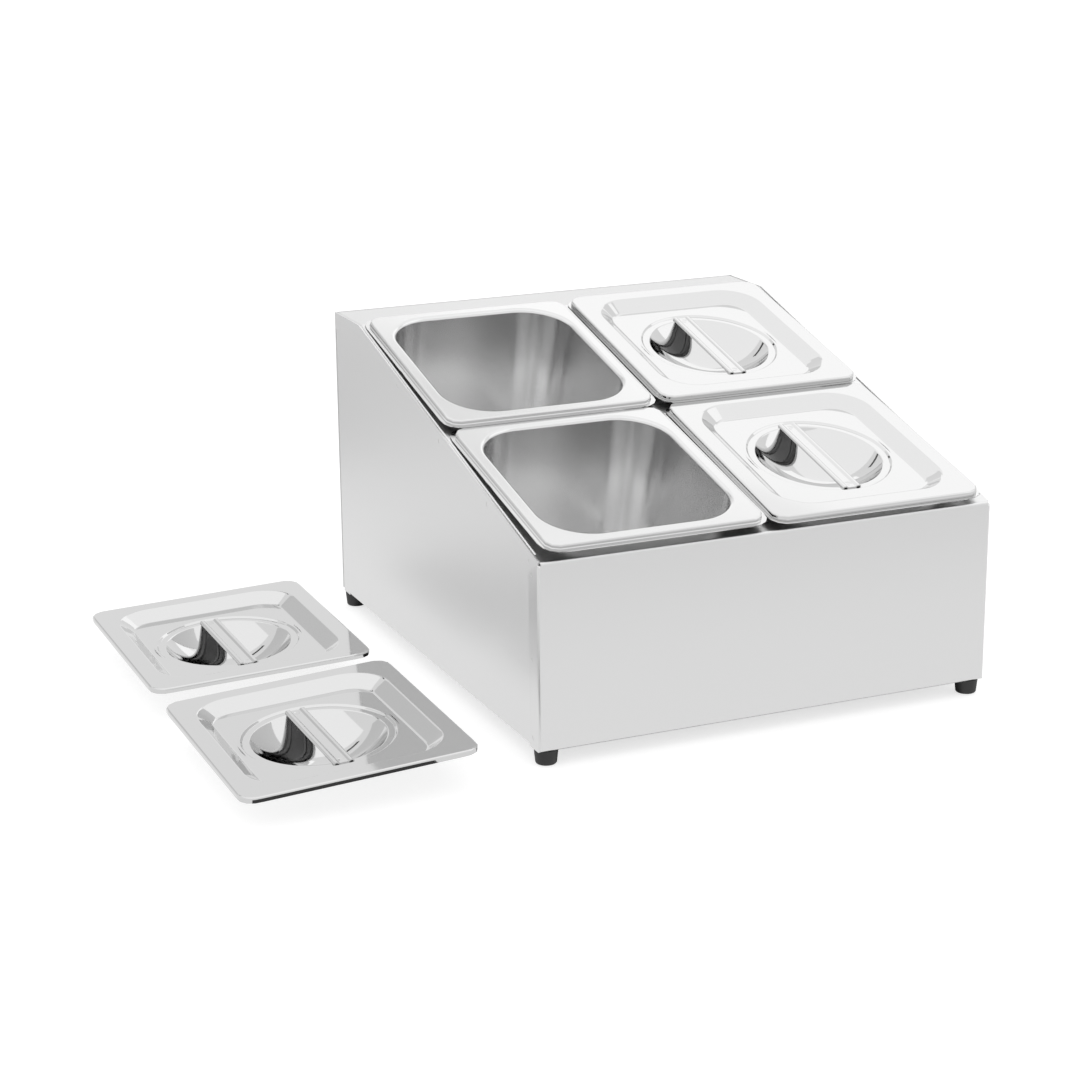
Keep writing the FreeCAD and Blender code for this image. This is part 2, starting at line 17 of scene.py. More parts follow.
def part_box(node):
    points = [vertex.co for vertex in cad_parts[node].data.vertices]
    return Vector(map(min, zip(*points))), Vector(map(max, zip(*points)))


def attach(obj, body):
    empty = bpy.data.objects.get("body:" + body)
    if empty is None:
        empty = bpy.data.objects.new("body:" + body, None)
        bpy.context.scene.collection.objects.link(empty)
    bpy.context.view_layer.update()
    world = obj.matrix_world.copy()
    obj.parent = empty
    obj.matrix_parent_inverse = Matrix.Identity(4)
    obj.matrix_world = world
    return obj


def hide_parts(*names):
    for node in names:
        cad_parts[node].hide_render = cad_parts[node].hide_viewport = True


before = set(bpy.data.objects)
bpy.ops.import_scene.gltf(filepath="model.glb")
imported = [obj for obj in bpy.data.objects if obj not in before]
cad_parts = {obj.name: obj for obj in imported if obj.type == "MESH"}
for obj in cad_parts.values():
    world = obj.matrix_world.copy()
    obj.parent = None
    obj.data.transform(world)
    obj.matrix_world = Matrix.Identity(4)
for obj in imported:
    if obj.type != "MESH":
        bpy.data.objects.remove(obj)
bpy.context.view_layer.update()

# %% [markdown]
# ## The camera
# The photograph is taken from the front left, a little above the holder, with a long lens.
# A camera could be placed by eye and nudged. Here it was solved from the corners of the
# stand and the pans, so it is written as a place, three turns and a focal length. The
# photograph's uprights lean a little less than a tilted camera shows them, as if its frame
# had been straightened afterwards. A lens shift would copy that, but it would push the
# holder out of every other view, so the camera is tilted instead.

# %% Where the camera stands and which way it looks
stand_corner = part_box("front_panel")[0]
camera_place = Vector((stand_corner.x - 0.61772, stand_corner.y - 1.42258, 0.62239))
camera_yaw, camera_pitch, camera_roll = (math.radians(a) for a in (23.5286, 16.7979, -0.4485))

forward = Vector((math.sin(camera_yaw) * math.cos(camera_pitch),
                  math.cos(camera_yaw) * math.cos(camera_pitch), -math.sin(camera_pitch)))
level_right = Vector((math.cos(camera_yaw), -math.sin(camera_yaw), 0.0))
level_up = level_right.cross(forward)
right = level_right * math.cos(camera_roll) + level_up * math.sin(camera_roll)
up = right.cross(forward)
camera_axes = Matrix((right, up, -forward)).transposed()
print("camera at", [round(v, 3) for v in camera_place], "looks", [round(v, 3) for v in forward])

# %% Its lens
image_pixels, focal_pixels = 1080.0, 2581.3
lens = bpy.data.cameras.new("photo_lens")
lens.sensor_width = 36.0
lens.sensor_fit = "AUTO"
lens.lens = focal_pixels * lens.sensor_width / image_pixels
lens.clip_start, lens.clip_end = 0.05, 50.0
camera = bpy.data.objects.new("photo_camera", lens)
camera.matrix_world = Matrix.Translation(camera_place) @ camera_axes.to_4x4()
bpy.context.scene.collection.objects.link(camera)
bpy.context.scene.camera = camera
bpy.context.scene.view_settings.view_transform = "Standard"
print("lens", round(lens.lens, 2), "mm")

# %% [markdown]
# ## One steel, worked in different ways
# All the steel here is the same metal, and what tells the pieces apart is how its surface
# was worked: rolled sheet has a fine straight grain, a drawn pan is satin inside, and a lid
# is polished like a mirror. Each finish could be painted as a picture. Here each one is a
# metal shader with its own roughness, because it then suits a piece of any shape. One
# shared group gives all of them the small unevenness that real steel has: grain for the
# bump, and slow cloudy marks, as wiping leaves them, for the roughness.

# %% Grain and wiping marks, shared by every steel
def steel_surface_group():
    """Grain is a noise of the coordinates, drawn out wherever they were squeezed. Roughness
    is the given roughness + (a slow noise - 0.5) * the given change."""
    group = bpy.data.node_groups.new("steel_surface", "ShaderNodeTree")
    face = group.interface
    face.new_socket("Coordinates", in_out="INPUT", socket_type="NodeSocketVector")
    for name, value in (("Grain scale", 400.0), ("Marks scale", 12.0), ("Roughness", 0.3),
                        ("Roughness change", 0.05)):
        face.new_socket(name, in_out="INPUT", socket_type="NodeSocketFloat").default_value = value
    for name in ("Grain", "Roughness"):
        face.new_socket(name, in_out="OUTPUT", socket_type="NodeSocketFloat")
    nodes, links = group.nodes, group.links
    given, out = nodes.new("NodeGroupInput"), nodes.new("NodeGroupOutput")

    grain = nodes.new("ShaderNodeTexNoise")
    grain.inputs["Detail"].default_value = 3.0
    links.new(given.outputs["Coordinates"], grain.inputs["Vector"])
    links.new(given.outputs["Grain scale"], grain.inputs["Scale"])
    links.new(grain.outputs["Fac"], out.inputs["Grain"])

    marks = nodes.new("ShaderNodeTexNoise")
    marks.inputs["Detail"].default_value = 4.0
    marks.inputs["Roughness"].default_value = 0.6
    links.new(given.outputs["Coordinates"], marks.inputs["Vector"])
    links.new(given.outputs["Marks scale"], marks.inputs["Scale"])
    centred = nodes.new("ShaderNodeMath")
    centred.operation = "SUBTRACT"
    centred.inputs[1].default_value = 0.5
    links.new(marks.outputs["Fac"], centred.inputs[0])
    changed = nodes.new("ShaderNodeMath")
    changed.operation = "MULTIPLY_ADD"
    links.new(centred.outputs[0], changed.inputs[0])
    links.new(given.outputs["Roughness change"], changed.inputs[1])
    links.new(given.outputs["Roughness"], changed.inputs[2])
    links.new(changed.outputs[0], out.inputs["Roughness"])
    return group


steel_surface = steel_surface_group()
print("group", steel_surface.name, "with", len(steel_surface.nodes), "nodes")

# %% A steel with its own grey, roughness and grain
along_x, along_y, no_way = (0.06, 1.0, 1.0), (1.0, 0.06, 1.0), (1.0, 1.0, 1.0)
grain_relief = 0.0002


def steel(name, grey, roughness, change, squeeze, grain_scale, bump):
    """A metal shader. The object coordinates are squeezed along one axis before the group
    reads them, so the grain runs along that axis."""
    material = bpy.data.materials.new(name)
    material.use_nodes = True
    nodes, links = material.node_tree.nodes, material.node_tree.links
    shader = nodes["Principled BSDF"]
    shader.inputs["Metallic"].default_value = 1.0
    shader.inputs["Base Color"].default_value = (grey, grey, grey, 1.0)
    place = nodes.new("ShaderNodeTexCoord")
    mapping = nodes.new("ShaderNodeMapping")
    mapping.inputs["Scale"].default_value = squeeze
    links.new(place.outputs["Object"], mapping.inputs["Vector"])
    surface = nodes.new("ShaderNodeGroup")
    surface.node_tree = steel_surface
    surface.inputs["Grain scale"].default_value = grain_scale
    surface.inputs["Roughness"].default_value = roughness
    surface.inputs["Roughness change"].default_value = change
    links.new(mapping.outputs["Vector"], surface.inputs["Coordinates"])
    links.new(surface.outputs["Roughness"], shader.inputs["Roughness"])
    relief = nodes.new("ShaderNodeBump")
    relief.inputs["Strength"].default_value = bump
    relief.inputs["Distance"].default_value = grain_relief
    links.new(surface.outputs["Grain"], relief.inputs["Height"])
    links.new(relief.outputs["Normal"], shader.inputs["Normal"])
    print(name, "grey", grey, "roughness", roughness)
    return material


stand_steel = steel("stand_steel", 0.72, 0.30, 0.08, along_x, 900.0, 0.06)

# %% [markdown]
# ## The stand and its screws
# The stand is cut and folded from satin sheet, whose grain runs along each panel. Its faces
# are flat with small bends, and the screws and nuts are small, so their CAD meshes are
# already right. Remaking them would add nothing that shows, so they only take a finish. The
# side panels are cut across the same sheet, so their grain runs front to back, and they
# are a little duller, which keeps the reflection of the loose lids soft.

# %% Finish the sheets, the screws and the nuts
# The sides take a lighter grey, 0.76, than the front, back and top, 0.72, though they are the same
# sheet. The front's darker grey is painted shade, so that the front panel's side return reads
# darker than the side it laps.
side_steel = steel("side_steel", 0.76, 0.42, 0.06, along_y, 900.0, 0.06)
fastener_steel = steel("fastener_steel", 0.62, 0.35, 0.08, no_way, 600.0, 0.1)
for node, material in (("front_panel", stand_steel), ("back_panel", stand_steel),
                       ("left_side_panel", side_steel), ("right_side_panel", side_steel),
                       ("top_frame", stand_steel), ("foot_screws", fastener_steel),
                       ("foot_nuts", fastener_steel)):
    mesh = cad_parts[node].data
    mesh.materials.clear()
    mesh.materials.append(material)
    print(node, "takes", material.name)

# %% [markdown]
# ## The seats of the pans
# Each pan hangs by its lip in the sloping top. The CAD model places them with a slope, a
# small tip of each pan, and a front edge that is lifted. The places could be read back from
# the solids, but a tipped pan's box doesn't say how it is tipped. So the same few numbers
# place the smooth pans and lids here, and each one lies where its solid lies.

# %% Sizes of the pans and their seats, in millimetres
pan_width, pan_length, pan_depth, pan_sheet = 162.0, 176.0, 100.0, 0.6
rim_height, lid_sheet = 3.7, 0.6
rest_gap, row_overlap, front_row = 0.1, 4.7, -1.5
left_column, right_column, rear_right_column = 4.5, 168.0, 167.3
left_lift, right_lift = 6.8, 5.2
lid_above_lip = rim_height + lid_sheet
rear_row = front_row + pan_length - row_overlap

slope_past_rear_row, slope_rise = 5.7, 90.0
stand_low, front_height = 10.5, 128.0
slope_length = rear_row + pan_length - slope_past_rear_row
slope_angle = math.atan2(slope_rise, math.sqrt(slope_length ** 2 - slope_rise ** 2))
stand_left, stand_front = stand_corner.x * 1000, stand_corner.y * 1000
print("slope", round(math.degrees(slope_angle), 2), "degrees over", round(slope_length, 1), "mm")


# %% Where a pan or a lid goes
def seat_matrix(column, row, front_lift, rise=0.0):
    """A pan of length L with its front edge lifted by h tips by asin(h / L) less than the
    slope, so it is turned about X by the slope less that tip. The frame is then moved to the
    middle of the pan's mouth."""
    turn = slope_angle - math.asin((front_lift - rest_gap) / pan_length)
    y = stand_front + row * math.cos(slope_angle) - front_lift * math.sin(slope_angle)
    z = (stand_low + front_height + row * math.sin(slope_angle)
         + front_lift * math.cos(slope_angle))
    corner = Matrix.Translation(Vector((stand_left + column, y, z)))
    middle = Matrix.Translation(Vector((pan_width / 2, pan_length / 2, rise)))
    return corner @ Matrix.Rotation(turn, 4, "X") @ middle


def lifted_over(front_lift, thickness):
    """Lift of a rear pan whose lip lies over the pan or the lid in front of it: the gap, the
    climb of that tipped pan under the overlap, its thickness, and the gap again."""
    slant = (front_lift - rest_gap) * (row_overlap + pan_sheet) / pan_length
    return rest_gap + slant + thickness + rest_gap


pan_seats = {
    "front_left": (left_column, front_row, left_lift),
    "front_right": (right_column, front_row, right_lift),
    "rear_left": (left_column, rear_row, lifted_over(left_lift, rim_height)),
    "rear_right": (rear_right_column, rear_row, lifted_over(right_lift, lid_above_lip)),
}
print({name: [round(v, 2) for v in seat] for name, seat in pan_seats.items()})

# %% [markdown]
# ## Loops and profiles
# A pressed pan and a pressed lid are both a profile that runs round a rounded rectangle and
# closes in towards the middle. Each could be modelled by hand with loops and bevels. Here
# every loop is worked out with numpy from its half width, half length, corner radius and
# height, so the bends are true arcs and each point's normal is known exactly. Those normals
# are given to the mesh, so flat steel reflects flat.

# %% Where the loops are cut
corner_from, corner_to = math.radians(18), math.radians(72)


def spaced_angles(count_side, count_corner):
    """Angles once round: count_corner even steps from 18 to 72 degrees, where the corners
    are, count_side even steps from there to the next corner, and both again every quarter."""
    corner = np.linspace(corner_from, corner_to, count_corner + 1)
    side = np.linspace(-corner_from, corner_from, count_side + 1)[1:-1]
    quarter = np.concatenate([side, corner])
    return np.concatenate([quarter + k * math.pi / 2 for k in range(4)])


round_angles = spaced_angles(12, 20)
print("steps once round", len(round_angles))


# %% One loop of a rounded rectangle, seen from its middle
def loop(angles, half_x, half_y, corner):
    """Points and outward normals where a ray at each angle meets a rounded rectangle.

    A ray first meets the straight sides, at half_x / |cos| or half_y / |sin|. Where that
    point is past the corner's centre both ways, the ray meets the corner's circle instead:
    along = d.c + sqrt((d.c)^2 - c.c + corner^2), with d the ray and c the circle's centre."""
    ray = np.stack([np.cos(angles), np.sin(angles)], axis=1)
    sign = np.where(ray < 0, -1.0, 1.0)
    size = np.abs(ray)
    to_x = half_x / np.maximum(size[:, 0], 1e-9)
    to_y = half_y / np.maximum(size[:, 1], 1e-9)
    along = np.minimum(to_x, to_y)
    normal = np.where((to_x < to_y)[:, None], [1.0, 0.0], [0.0, 1.0])
    centre = np.array([half_x - corner, half_y - corner])
    met = size * along[:, None]
    in_corner = np.all(met > centre, axis=1)
    dot = size @ centre
    root = np.sqrt(np.maximum(dot ** 2 - centre @ centre + corner ** 2, 0.0))
    along = np.where(in_corner, dot + root, along)
    met = size * along[:, None]
    turned = (met - centre) / max(corner, 1e-9)
    normal = np.where(in_corner[:, None], turned, normal)
    return met * sign, normal * sign


lip_corner = 12.5
lip_points = loop(round_angles, pan_width / 2, pan_length / 2, lip_corner)[0]
print("the loop of a pan's lip spans", np.round(np.ptp(lip_points, axis=0), 2), "mm")


# %% A profile whose bends are arcs
def bent_profile(points, radii, steps):
    """A line through (inset, height) points with each corner rounded by its radius.

    Returns inset, height and the tilt of the normal at every step: the normal points to the
    left of the way the line runs. Each arc turns evenly from one straight's normal to the
    next, about a centre that lies a radius away from both straights."""
    points = np.array(points, float)
    way = np.diff(points, axis=0)
    way /= np.linalg.norm(way, axis=1)[:, None]
    left_side = np.stack([-way[:, 1], way[:, 0]], axis=1)
    rows = [(points[0], left_side[0])]
    for i in range(1, len(points) - 1):
        a, b, radius = left_side[i - 1], left_side[i], radii[i - 1]
        turn = way[i - 1][0] * way[i][1] - way[i - 1][1] * way[i][0]
        side = 1.0 if turn > 0 else -1.0
        centre = points[i] + side * radius * (a + b) / (1 + a @ b)
        spread = math.atan2(a[0] * b[1] - a[1] * b[0], a @ b)
        t = np.linspace(0.0, spread, steps + 1)
        normals = np.stack([a[0] * np.cos(t) - a[1] * np.sin(t),
                            a[0] * np.sin(t) + a[1] * np.cos(t)], axis=1)
        rows += [(centre - side * radius * n, n) for n in normals]
    rows.append((points[-1], left_side[-1]))
    place = np.array([r[0] for r in rows])
    normal = np.array([r[1] for r in rows])
    return place[:, 0], place[:, 1], normal


lip_width, rim_flat, lip_fillet, rim_edge_radius = 3.5, 7.0, 0.6, 1.2
lip_line = [(0.0, pan_sheet), (lip_width, pan_sheet), (lip_width, rim_height),
            (rim_flat, rim_height)]
lip_profile = bent_profile(lip_line, [lip_fillet, rim_edge_radius], 6)
print("a pan's lip and rim are a profile of", len(lip_profile[0]), "steps")


# %% A profile carried round a rounded rectangle
def swept(angles, half_x, half_y, corner, inset, height, tilt):
    """At each step of the profile the loop is drawn in by the inset, its corner radius
    shrinks as much, and the normal is the loop's own times the profile's sideways part, with
    the profile's upward part added."""
    flat = [loop(angles, half_x - d, half_y - d, corner - d) for d in inset]
    xy = np.stack([f[0] for f in flat])
    side = np.stack([f[1] for f in flat])
    z = np.broadcast_to(np.asarray(height)[:, None, None], xy.shape[:2] + (1,))
    outward = -tilt[:, 0][:, None, None] * side
    rise = np.broadcast_to(tilt[:, 1][:, None, None], z.shape)
    return np.concatenate([xy, z], axis=2), np.concatenate([outward, rise], axis=2)


pan_lip = swept(round_angles, pan_width / 2, pan_length / 2, lip_corner, *lip_profile)
print("a pan's lip is a grid of", pan_lip[0].shape[:2])

# %% [markdown]
# ## A sheet with two skins
# The pans, lids and handles are all sheet metal, so a single surface would be wrong: the
# thickness shows at every lip. A Solidify modifier could add it. Here the lower skin is
# worked out as well, one thickness below the upper one along the known normals, so the
# radii stay true on both sides and a strip of quads closes the edge.

# %% A mesh with a normal at each corner of each face
def mesh_of(name, points, faces, normals, matrix):
    """Points are in millimetres in the piece's own frame, and the matrix carries them to
    their place: p' = (R p + t) / 1000. Faces are arrays of corners and of corner normals."""
    turn = np.array(matrix.to_3x3())
    where = (points @ turn.T + np.array(matrix.translation)) / 1000.0
    mesh = bpy.data.meshes.new(name)
    mesh.from_pydata(where.tolist(), [], [f for group in faces for f in group.tolist()])
    mesh.polygons.foreach_set("use_smooth", np.ones(len(mesh.polygons), bool))
    corner_normals = np.concatenate([n.reshape(-1, 3) for n in normals]) @ turn.T
    mesh.normals_split_custom_set(corner_normals.tolist())
    return mesh


pan_middle = seat_matrix(*pan_seats["front_left"]).translation / 1000
print("the front left pan's mouth has its middle at", [round(v, 4) for v in pan_middle], "m")


# %% The faces of one skin
def skin_faces(loops, count, start, flip):
    """Quads between neighbouring loops, and a fan of triangles to the middle point. Loop k
    begins at corner start + k * count, and the middle point comes after the last loop."""
    ring, step = np.meshgrid(np.arange(loops - 1), np.arange(count), indexing="ij")
    after = (step + 1) % count
    quads = np.stack([ring * count + step, ring * count + after,
                      (ring + 1) * count + after, (ring + 1) * count + step], axis=-1)
    quads = quads.reshape(-1, 4) + start
    last = (loops - 1) * count + start
    i = np.arange(count)
    fan = np.stack([last + i, last + (i + 1) % count,
                    np.full(count, loops * count + start)], axis=1)
    return (quads[:, ::-1], fan[:, ::-1]) if flip else (quads, fan)


few_quads, few_triangles = skin_faces(3, 8, 0, False)
print("three loops of eight give", len(few_quads), "quads and", len(few_triangles), "triangles")


# %% A pressed sheet that closes in its middle
def sheet_mesh(name, place, normal, thickness, matrix):
    """The upper skin, the lower skin at upper - normal * thickness, and a strip that joins
    their outermost loops. Each skin closes on a point at the height of its last loop."""
    loops, count = place.shape[:2]
    middle = [[0.0, 0.0, place[-1, 0, 2]]]
    top = np.concatenate([place.reshape(-1, 3), middle])
    top_normal = np.concatenate([normal.reshape(-1, 3), [[0.0, 0.0, 1.0]]])
    points = np.concatenate([top, top - top_normal * thickness])
    both = np.concatenate([top_normal, -top_normal])
    quads_a, fan_a = skin_faces(loops, count, 0, False)
    quads_b, fan_b = skin_faces(loops, count, len(top), True)
    i = np.arange(count)
    after = (i + 1) % count
    strip = np.stack([i, len(top) + i, len(top) + after, after], axis=1)
    outward = place[0] - place[1]
    outward /= np.linalg.norm(outward, axis=1)[:, None]
    strip_normal = np.stack([outward, outward, outward[after], outward[after]], axis=1)
    return mesh_of(name, points, [quads_a, quads_b, strip, fan_a, fan_b],
                   [both[quads_a], both[quads_b], strip_normal, both[fan_a], both[fan_b]], matrix)


print("a sheet's edge is closed by", len(round_angles), "quads")


# %% A finished piece in the place of its solid
def dressed(mesh, node, material):
    """Puts a mesh in the scene instead of its CAD node, and prints the furthest that the
    corners of its box lie from the corners of the solid's box."""
    piece = bpy.data.objects.new("smooth_" + node, mesh)
    bpy.context.scene.collection.objects.link(piece)
    mesh.materials.append(material)
    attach(piece, "root")
    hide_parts(node)
    low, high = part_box(node)
    own = np.array([v.co for v in mesh.vertices])
    off = np.abs(np.concatenate([own.min(0) - low, own.max(0) - high])).max()
    print(piece.name, "faces", len(mesh.polygons), "furthest from its solid's box",
          round(off * 1000, 2), "mm")
    return piece


print("solids before any is remade", len(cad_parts))

# %% [markdown]
# ## The pans' two finishes
# A food pan is bright on its rolled rim and satin inside, where the punch has stretched the
# steel. Two materials would meet in a hard line. One material that reads an attribute of
# the mesh can pass from one finish to the other down the wall's bend, and the attribute is
# easy here, because each loop of the pan knows how deep it lies.

# %% A socket that follows how far inside a place is
def by_inside(material, rim, inside, socket):
    """The socket gets rim + (inside - rim) * the mesh's "inside" attribute."""
    nodes, links = material.node_tree.nodes, material.node_tree.links
    worked = nodes.new("ShaderNodeAttribute")
    worked.attribute_name = "inside"
    amount = nodes.new("ShaderNodeMapRange")
    amount.inputs["To Min"].default_value = rim
    amount.inputs["To Max"].default_value = inside
    links.new(worked.outputs["Fac"], amount.inputs["Value"])
    links.new(amount.outputs["Result"], socket)
    print(material.name, socket.name, "from", rim, "at the rim to", inside, "inside")


pan_steel = steel("pan_steel", 0.74, 0.22, 0.08, no_way, 900.0, 0.05)
pan_nodes = pan_steel.node_tree.nodes
by_inside(pan_steel, 0.67, 0.78, pan_nodes["Principled BSDF"].inputs["Base Color"])
by_inside(pan_steel, 0.12, 0.24, pan_nodes["Group"].inputs["Roughness"])

# %% [markdown]
# ## The pans
# A food pan is drawn from one sheet: a flat lip that hangs on the stand, a raised rim round
# the mouth, walls that lean in a little so pans nest, and a floor with a wide radius. The
# mouth's corners are much rounder than the lip's, and one loop can't be both, so the
# profile is swept in two parts that meet on the flat of the rim.

# %% Loops of a pan
rim_width, mouth_corner, wall_lean = 12.8, 34.0, 6.0
mouth_flat, rim_bend_radius, pan_floor_radius, floor_reach = 4.5, 3.0, 14.0, 20.0
finish_depth = 2.5


def pan_loops():
    """Loops about the middle of the mouth, with heights from the lip's underside, and how
    far each loop is inside: (rim height - height) / finish depth, kept from 0 to 1."""
    floor = rim_height - pan_depth + pan_sheet
    line = [(-mouth_flat, rim_height), (0.0, rim_height), (wall_lean, floor),
            (wall_lean + floor_reach, floor)]
    inset, height, tilt = bent_profile(line, [rim_bend_radius, pan_floor_radius], 12)
    body = swept(round_angles, pan_width / 2 - rim_width, pan_length / 2 - rim_width,
                 mouth_corner, inset, height, tilt)
    inside = np.concatenate([np.zeros(len(pan_lip[0])),
                             np.clip((rim_height - height) / finish_depth, 0, 1)])
    return (np.concatenate([pan_lip[0], body[0]]), np.concatenate([pan_lip[1], body[1]]),
            inside)


pan_place, pan_normal, pan_inside = pan_loops()
print("a pan has", len(pan_place), "loops, from", round(pan_place[..., 2].min(), 1), "to",
      round(pan_place[..., 2].max(), 1), "mm")

# %% Press the four pans
for name, seat in pan_seats.items():
    mesh = sheet_mesh("pan_" + name, pan_place, pan_normal, pan_sheet, seat_matrix(*seat))
    worked = np.append(np.repeat(pan_inside, pan_place.shape[1]), 1.0)
    layer = mesh.attributes.new("inside", "FLOAT", "POINT")
    layer.data.foreach_set("value", np.concatenate([worked, worked]))
    dressed(mesh, "pan_" + name, pan_steel)

# %% [markdown]
# ## The lids
# A lid has a short skirt that drops over the pan's rim, a bevelled recess, a ring step and a
# dish under the handle, so fingers reach round the strip. The recess follows the lid's
# outline and the ring is round, and between them the sheet is flat, so the loops may change
# from one shape to the other there. The dish is part of a ball, and its brink is a small arc
# that touches the ledge and the ball. It could be turned as a piece of its own, but one
# grid from skirt to middle has no seam for the polish to show.

# %% Profile of the ring step and the dish
ring_radius, ring_step, ring_bevel, dish_radius, dish_depth = 50.8, 1.2, 1.4, 44.6, 19.8
recess_depth, ring_bend_radius, brink_radius, ring_flat = 7.0, 0.8, 1.6, 2.0
ledge_height = -recess_depth - ring_step
ball_radius = (dish_radius ** 2 + dish_depth ** 2) / (2 * dish_depth)
ball_middle = ledge_height - dish_depth + ball_radius
ball_end = 0.03


def dish_profile():
    """Ring step, ledge, brink and ball, as insets from the ring's radius.

    The brink's arc has its centre one brink radius below the ledge and touches the ball, so
    that centre is sqrt((R + b)^2 - (c + b)^2) from the axis, with c the height of the ball's
    centre above the ledge. The ball itself is r = R sin t, z = centre - R cos t."""
    above = ball_middle - ledge_height
    reach = math.sqrt((ball_radius + brink_radius) ** 2 - (above + brink_radius) ** 2)
    line = [(-ring_flat, -recess_depth), (0.0, -recess_depth), (ring_bevel, ledge_height),
            (ring_radius - reach, ledge_height)]
    inset, height, tilt = bent_profile(line, [ring_bend_radius, ring_bend_radius], 4)
    end = math.asin(reach / (ball_radius + brink_radius))
    t = np.linspace(0.0, end, 7)[1:]
    brink = np.stack([ring_radius - reach + brink_radius * np.sin(t),
                      ledge_height - brink_radius + brink_radius * np.cos(t)])
    s = np.linspace(end, ball_end, 28)[1:]
    ball = np.stack([ring_radius - ball_radius * np.sin(s), ball_middle - ball_radius * np.cos(s)])
    inset = np.concatenate([inset, brink[0], ball[0]])
    height = np.concatenate([height, brink[1], ball[1]])
    more = np.concatenate([np.stack([np.sin(t), np.cos(t)], axis=1),
                           np.stack([np.sin(s), np.cos(s)], axis=1)])
    return inset, height, np.concatenate([tilt, more])


print("the dish is part of a ball of", round(ball_radius, 2), "mm radius")

# %% Loops of a lid
lid_inset, lid_skirt, lid_edge_radius, lid_rim_flat = 2.0, 3.6, 1.4, 5.0
lid_half_x, lid_half_y = pan_width / 2 - lid_inset, pan_length / 2 - lid_inset
recess_side, recess_end, recess_corner, recess_bevel = 13.0, 12.5, 27.0, 10.0
recess_flat, recess_top_radius, recess_floor_radius, recess_reach = 4.0, 3.0, 4.0, 14.0


def lid_loops():
    """Loops about the lid's middle, with height 0 on its flat rim: the skirt and rim, the
    recess, and the round ring and dish, each swept by itself and joined on a flat."""
    line = [(0.0, -lid_skirt), (0.0, 0.0), (lid_rim_flat, 0.0)]
    rim = swept(round_angles, lid_half_x, lid_half_y, lip_corner - lid_inset,
                *bent_profile(line, [lid_edge_radius], 8))
    line = [(-recess_flat, 0.0), (0.0, 0.0), (recess_bevel, -recess_depth),
            (recess_reach, -recess_depth)]
    recess = swept(round_angles, lid_half_x - recess_side, lid_half_y - recess_end, recess_corner,
                   *bent_profile(line, [recess_top_radius, recess_floor_radius], 8))
    dish = swept(round_angles, ring_radius, ring_radius, ring_radius, *dish_profile())
    return (np.concatenate([rim[0], recess[0], dish[0]]),
            np.concatenate([rim[1], recess[1], dish[1]]))


lid_place, lid_normal = lid_loops()
print("a lid has", len(lid_place), "loops and is", round(-lid_place[..., 2].min(), 2), "mm deep")

# %% [markdown]
# ## Where the lids lie
# Two lids lie in the rims of the right-hand pans, so they share the pans' seats. The other
# two were put down on the table, and each rests on the lowest point of its round dish and
# rocks a few degrees to one side. They could be laid level, but the photograph shows the
# tilt, and the tilt decides which part of the studio each lid mirrors.

# %% A lid that rests on its dish
def loose_matrix(gap, middle, turns):
    """A lid on the table rests on its dish, a ball of radius B whose lowest point is B below
    its centre, so the lid's middle is at B - (B - D) cos(tip), with D the lid's whole depth.
    The turns are about Z, then X, then Y, in degrees."""
    turn, forward_tip, side_tip = (math.radians(a) for a in turns)
    rotation = (Matrix.Rotation(turn, 4, "Z") @ Matrix.Rotation(forward_tip, 4, "X")
                @ Matrix.Rotation(-side_tip, 4, "Y"))
    under = ball_radius + lid_sheet
    whole = lid_sheet + dish_depth - ledge_height
    height = under - (under - whole) * rotation[2][2]
    place = Vector((stand_left - gap - lid_half_x, stand_front + middle, height))
    return Matrix.Translation(place) @ rotation


front_middle, lids_apart = 63.6, 32.3
lid_places = {
    "front_right": seat_matrix(*pan_seats["front_right"], lid_above_lip),
    "rear_right": seat_matrix(*pan_seats["rear_right"], lid_above_lip),
    "loose_front": loose_matrix(48.6, front_middle, (0.5, 1.6, 3.1)),
    "loose_rear": loose_matrix(46.4, front_middle + 2 * lid_half_y + lids_apart, (0.1, 1.2, 1.9)),
}
print({name: [round(v, 1) for v in place.translation] for name, place in lid_places.items()})

# %% Polish and press the four lids
lid_steel = steel("lid_steel", 0.64, 0.06, 0.03, no_way, 300.0, 0.01)
for name, matrix in lid_places.items():
    dressed(sheet_mesh("lid_" + name, lid_place, lid_normal, lid_sheet, matrix), "lid_" + name,
            lid_steel)

# %% [markdown]
# ## The handles
# The handle is a strip of sheet with both long edges rolled up into beads, spot welded to the
# ring's ledge at its two ends. It could be an extruded outline with the welds as a bump.
# Its section is a bent profile too, carried straight along the strip, so the dents of the
# welds can be real: each one is taken from the height. The strip is polished on top and
# rougher below, where no wheel reaches. Its underside also takes a dark grey, which is
# painted shade for the shadow under the strip, and the dish mirrors that painted shade as a
# dark wedge beside the handle.

# %% Section of a handle
handle_half, handle_sheet, bead_height, bead_width, bead_slope = 7.0, 0.8, 1.8, 3.0, 1.0
handle_bend, web_half = 0.7, 1.4


def handle_section():
    """Half of the section, from the outer edge over the bead and down to the flat web, and
    the same again with x turned to -x."""
    inner, foot = handle_half - bead_width, handle_half - bead_width - bead_slope
    line = [(-handle_half, 0.0), (-handle_half, bead_height), (-inner, bead_height),
            (-foot, handle_sheet), (0.0, handle_sheet)]
    bends = [handle_bend + handle_sheet, handle_bend + handle_sheet, handle_bend]
    x, z, tilt = bent_profile(line, bends, 6)
    x = np.concatenate([x[:-1], np.linspace(-web_half, 0.0, 5)])
    z = np.concatenate([z[:-1], np.full(5, handle_sheet)])
    tilt = np.concatenate([tilt[:-1], np.tile([[0.0, 1.0]], (5, 1))])
    return (np.concatenate([x, -x[-2::-1]]), np.concatenate([z, z[-2::-1]]),
            np.concatenate([tilt, tilt[-2::-1] * [-1.0, 1.0]]))


section_x, section_z, section_tilt = handle_section()
print("the section has", len(section_x), "steps over", round(np.ptp(section_x), 1), "mm")

